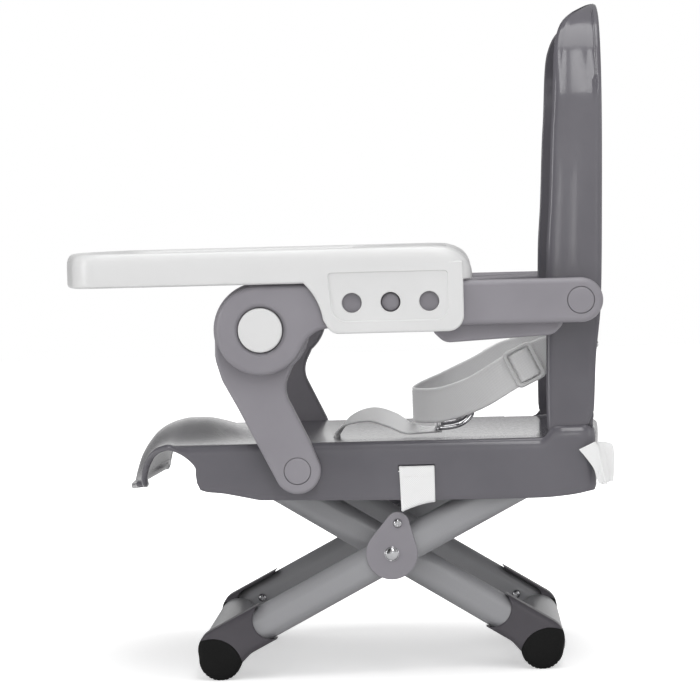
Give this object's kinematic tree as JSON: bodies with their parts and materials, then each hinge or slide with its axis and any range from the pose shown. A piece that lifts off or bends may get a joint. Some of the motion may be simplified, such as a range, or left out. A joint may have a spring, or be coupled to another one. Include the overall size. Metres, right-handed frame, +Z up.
{
  "type": "folding child booster seat with tray",
  "caption": "Portable folding child's booster seat on two crossed leg frames, with a fold-down backrest, knee-jointed arms, a removable tray and a waist harness.",
  "frame": {"origin": "on the floor under the middle of the object's box", "axes": "+X from the tray towards the backrest, +Y to the right-hand side seen from the tray's front looking at the backrest, +Z up; the pictured side is at -Y"},
  "size_m": [0.3964, 0.3566, 0.4682],
  "materials": {
    "seat_plastic": "moulded polypropylene, dark grey, high gloss",
    "arm_plastic": "moulded plastic, mid grey, satin",
    "shoe_plastic": "moulded plastic, dark grey, fine satin",
    "painted_tube": "oval steel tube, light grey paint",
    "black_rubber": "soft black rubber, matt",
    "white_plastic": "moulded plastic, white, soft gloss",
    "white_webbing": "woven polyester webbing, off-white",
    "chrome_steel": "bright zinc or chrome plated steel"
  },
  "bodies": {
    "seat": {"seat_shell": "seat_plastic", "axle_hanger_left": "seat_plastic", "axle_hanger_right": "seat_plastic", "slide_rail_left": "seat_plastic", "slide_rail_right": "seat_plastic", "hinge_block_left": "seat_plastic", "hinge_block_right": "seat_plastic", "back_hinge_rod": "chrome_steel", "crotch_strap": "white_webbing", "crotch_ring": "chrome_steel", "side_strap_left": "white_webbing", "side_strap_right": "white_webbing", "rear_strap_left": "white_webbing", "rear_strap_right": "white_webbing"},
    "backrest": {"backrest_shell": "seat_plastic", "backrest_rear_cover": "seat_plastic", "waist_belt": "white_webbing", "belt_adjuster_left": "white_plastic", "belt_adjuster_right": "white_plastic"},
    "tray": {"tray": "white_plastic"},
    "inner_leg_frame": {"inner_leg_tube_left": "painted_tube", "inner_leg_tube_right": "painted_tube", "inner_leg_cross_tube": "painted_tube", "inner_leg_shoe_left": "shoe_plastic", "inner_leg_shoe_right": "shoe_plastic", "inner_leg_foot_pad_left": "black_rubber", "inner_leg_foot_pad_right": "black_rubber", "front_leg_axle": "chrome_steel", "hub_rivet_left": "chrome_steel", "hub_rivet_right": "chrome_steel"},
    "outer_leg_frame": {"outer_leg_tube_left": "painted_tube", "outer_leg_tube_right": "painted_tube", "outer_leg_cross_tube": "painted_tube", "outer_leg_shoe_left": "shoe_plastic", "outer_leg_shoe_right": "shoe_plastic", "outer_leg_foot_pad_left": "black_rubber", "outer_leg_foot_pad_right": "black_rubber", "slider_pin_left": "chrome_steel", "slider_pin_right": "chrome_steel", "hub_cover_left": "arm_plastic", "hub_cover_right": "arm_plastic", "hub_screw_left": "chrome_steel", "hub_screw_right": "chrome_steel"},
    "strut_left": {"strut_left": "arm_plastic", "strut_pivot_pin_left": "arm_plastic"},
    "arm_left": {"arm_outer_left": "arm_plastic", "arm_inner_left": "arm_plastic", "arm_pivot_pin_left": "arm_plastic", "knee_spring_left": "chrome_steel"},
    "knee_button_left": {"knee_button_left": "white_plastic"},
    "tray_catch_left": {"tray_catch_left": "arm_plastic"},
    "strut_right": {"strut_right": "arm_plastic", "strut_pivot_pin_right": "arm_plastic"},
    "arm_right": {"arm_outer_right": "arm_plastic", "arm_inner_right": "arm_plastic", "arm_pivot_pin_right": "arm_plastic", "knee_spring_right": "chrome_steel"},
    "knee_button_right": {"knee_button_right": "white_plastic"},
    "tray_catch_right": {"tray_catch_right": "arm_plastic"}
  },
  "joints": [
    {"name": "back_fold", "type": "hinge", "parent": "seat", "child": "backrest", "pos_m": [0.16945, 0, 0.1797], "axis": [0, -1, 0], "range_deg": [0, 82], "deforming": ["waist_belt", "belt_adjuster_left", "belt_adjuster_right"]},
    {"name": "leg_fold", "type": "hinge", "parent": "seat", "child": "inner_leg_frame", "pos_m": [-0.04138, 0, 0.1344], "axis": [0, 1, 0], "range_deg": [-31.4, 14]},
    {"name": "leg_cross", "type": "hinge", "parent": "inner_leg_frame", "child": "outer_leg_frame", "pos_m": [0.03775, 0, 0.0861], "axis": [0, 1, 0], "range_deg": [-26.4, 59.1]},
    {"name": "tray_removal", "type": "slide", "parent": "seat", "child": "tray", "axis": [-0.7071, 0, 0.7071], "range_m": [0, 0.386]},
    {"name": "strut_fold_left", "type": "hinge", "parent": "seat", "child": "strut_left", "pos_m": [-0.02545, -0.153, 0.1468], "axis": [0, -1, 0], "range_deg": [0, 76.2]},
    {"name": "arm_fold_left", "type": "hinge", "parent": "backrest", "child": "arm_left", "pos_m": [0.17215, -0.16, 0.2605], "axis": [0, -1, 0], "range_deg": [-74.3, 0]},
    {"name": "knee_release_left", "type": "slide", "parent": "arm_left", "child": "knee_button_left", "axis": [0, 1, 0], "range_m": [0, 0.0025], "stiffness_N_per_m": 800, "springref_m": -0.0005, "deforming": ["knee_spring_left"]},
    {"name": "tray_catch_release_left", "type": "slide", "parent": "arm_left", "child": "tray_catch_left", "axis": [0, 1, 0], "range_m": [0, 0.003], "stiffness_N_per_m": 600, "springref_m": -0.0005},
    {"name": "strut_fold_right", "type": "hinge", "parent": "seat", "child": "strut_right", "pos_m": [-0.02545, 0.153, 0.1468], "axis": [0, -1, 0], "range_deg": [0, 76.2]},
    {"name": "arm_fold_right", "type": "hinge", "parent": "backrest", "child": "arm_right", "pos_m": [0.17215, 0.16, 0.2605], "axis": [0, -1, 0], "range_deg": [-74.3, 0]},
    {"name": "knee_release_right", "type": "slide", "parent": "arm_right", "child": "knee_button_right", "axis": [0, -1, 0], "range_m": [0, 0.0025], "stiffness_N_per_m": 800, "springref_m": -0.0005, "deforming": ["knee_spring_right"]},
    {"name": "tray_catch_release_right", "type": "slide", "parent": "arm_right", "child": "tray_catch_right", "axis": [0, -1, 0], "range_m": [0, 0.003], "stiffness_N_per_m": 600, "springref_m": -0.0005}
  ],
  "couplings": [
    {"joint": "leg_cross", "follows": "leg_fold", "ratio": -1.879},
    {"joint": "tray_removal", "follows": "back_fold", "m_per_rad": 0.269},
    {"joint": "strut_fold_left", "follows": "back_fold", "ratio": 0.9281},
    {"joint": "arm_fold_left", "follows": "back_fold", "ratio": -0.9054},
    {"joint": "strut_fold_right", "follows": "back_fold", "ratio": 0.9281},
    {"joint": "arm_fold_right", "follows": "back_fold", "ratio": -0.9054}
  ]
}
